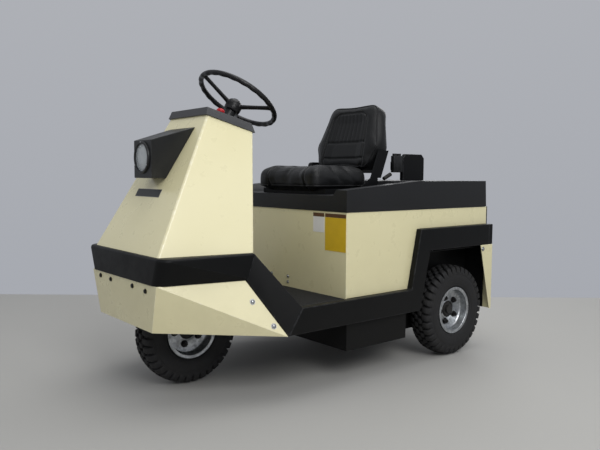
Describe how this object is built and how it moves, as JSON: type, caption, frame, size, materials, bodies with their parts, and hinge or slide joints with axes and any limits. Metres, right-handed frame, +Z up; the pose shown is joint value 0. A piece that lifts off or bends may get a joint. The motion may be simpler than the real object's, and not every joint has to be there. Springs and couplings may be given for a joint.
{
  "type": "three-wheel electric tow tractor",
  "caption": "Compact seated electric tow tractor: folded cream cowl over one steered front wheel, black band frame, hinged battery lid with seat, rear towing jaw.",
  "frame": {"origin": "on the floor, in the middle of the tractor's length and width", "axes": "+X forward, +Y to the driver's left, +Z up"},
  "size_m": [1.813, 0.92, 1.2546],
  "materials": {
    "cream_paint": "gloss",
    "black_paint": "satin",
    "black_plastic": "textured",
    "red_plastic": "gloss",
    "lamp_chrome": "polished",
    "lamp_glass": "clear",
    "black_rubber": "matt",
    "black_vinyl": "grained",
    "battery_case": "matt",
    "dark_steel": "satin",
    "galvanised_steel": "galvanised",
    "tyre_rubber": "matt"
  },
  "bodies": {
    "chassis": {"cowl": "cream_paint", "front_skirt": "cream_paint", "rear_skirt": "cream_paint", "front_panel": "cream_paint", "side_panel_left": "cream_paint", "side_panel_right": "cream_paint", "front_bumper": "black_paint", "step_stringer_left": "black_paint", "step_stringer_right": "black_paint", "side_frame_left": "black_paint", "side_frame_right": "black_paint", "rear_bumper": "black_paint", "head_plate": "black_paint", "toe_board": "black_paint", "floor_plate": "black_paint", "rear_plate": "black_paint", "chassis_box": "black_paint", "wheel_wells": "black_paint", "battery_tray": "black_paint", "dash_cap": "black_plastic", "lamp_box": "black_plastic", "steering_column": "black_plastic", "stop_button": "red_plastic", "lamp_reflector": "lamp_chrome", "lamp_lens": "lamp_glass", "floor_mat": "black_rubber", "pedals": "black_rubber", "battery": "battery_case", "rear_axle": "dark_steel", "drive_motor": "dark_steel", "tow_hitch": "dark_steel", "steering_head": "dark_steel"},
    "battery_lid": {"lid": "black_paint", "seat_frame": "black_paint", "seat_cushion": "black_vinyl", "seat_back": "black_vinyl", "plug_bracket": "black_paint", "battery_plug": "black_plastic", "plug_lead": "black_rubber"},
    "steering": {"steering_wheel": "black_plastic"},
    "fork": {"front_fork": "dark_steel"},
    "front_wheel": {"front_rim": "galvanised_steel", "front_tyre": "tyre_rubber"},
    "rear_wheel_left": {"rear_rim_left": "galvanised_steel", "rear_tyre_left": "tyre_rubber"},
    "rear_wheel_right": {"rear_rim_right": "galvanised_steel", "rear_tyre_right": "tyre_rubber"}
  },
  "joints": [
    {"name": "front_steer", "type": "hinge", "parent": "chassis", "child": "fork", "pos_m": [0.6295, 0, 0.45], "axis": [0, 0, 1], "range_deg": [-65, 65]},
    {"name": "front_wheel_spin", "type": "hinge", "parent": "fork", "child": "front_wheel", "pos_m": [0.6295, 0, 0.21], "axis": [0, 1, 0], "continuous": true},
    {"name": "rear_left_spin", "type": "hinge", "parent": "chassis", "child": "rear_wheel_left", "pos_m": [-0.5365, 0.393, 0.21], "axis": [0, 1, 0], "continuous": true},
    {"name": "rear_right_spin", "type": "hinge", "parent": "chassis", "child": "rear_wheel_right", "pos_m": [-0.5365, -0.393, 0.21], "axis": [0, 1, 0], "continuous": true},
    {"name": "steering_wheel_turn", "type": "hinge", "parent": "chassis", "child": "steering", "pos_m": [0.3805, 0, 1.149], "axis": [-0.5534, 0, 0.8329], "range_deg": [-400, 400]},
    {"name": "lid_hinge", "type": "hinge", "parent": "chassis", "child": "battery_lid", "pos_m": [-0.7865, 0, 0.6963], "axis": [0, -1, 0], "range_deg": [0, 70]}
  ],
  "couplings": [
    {"joint": "steering_wheel_turn", "follows": "front_steer", "ratio": 6}
  ]
}
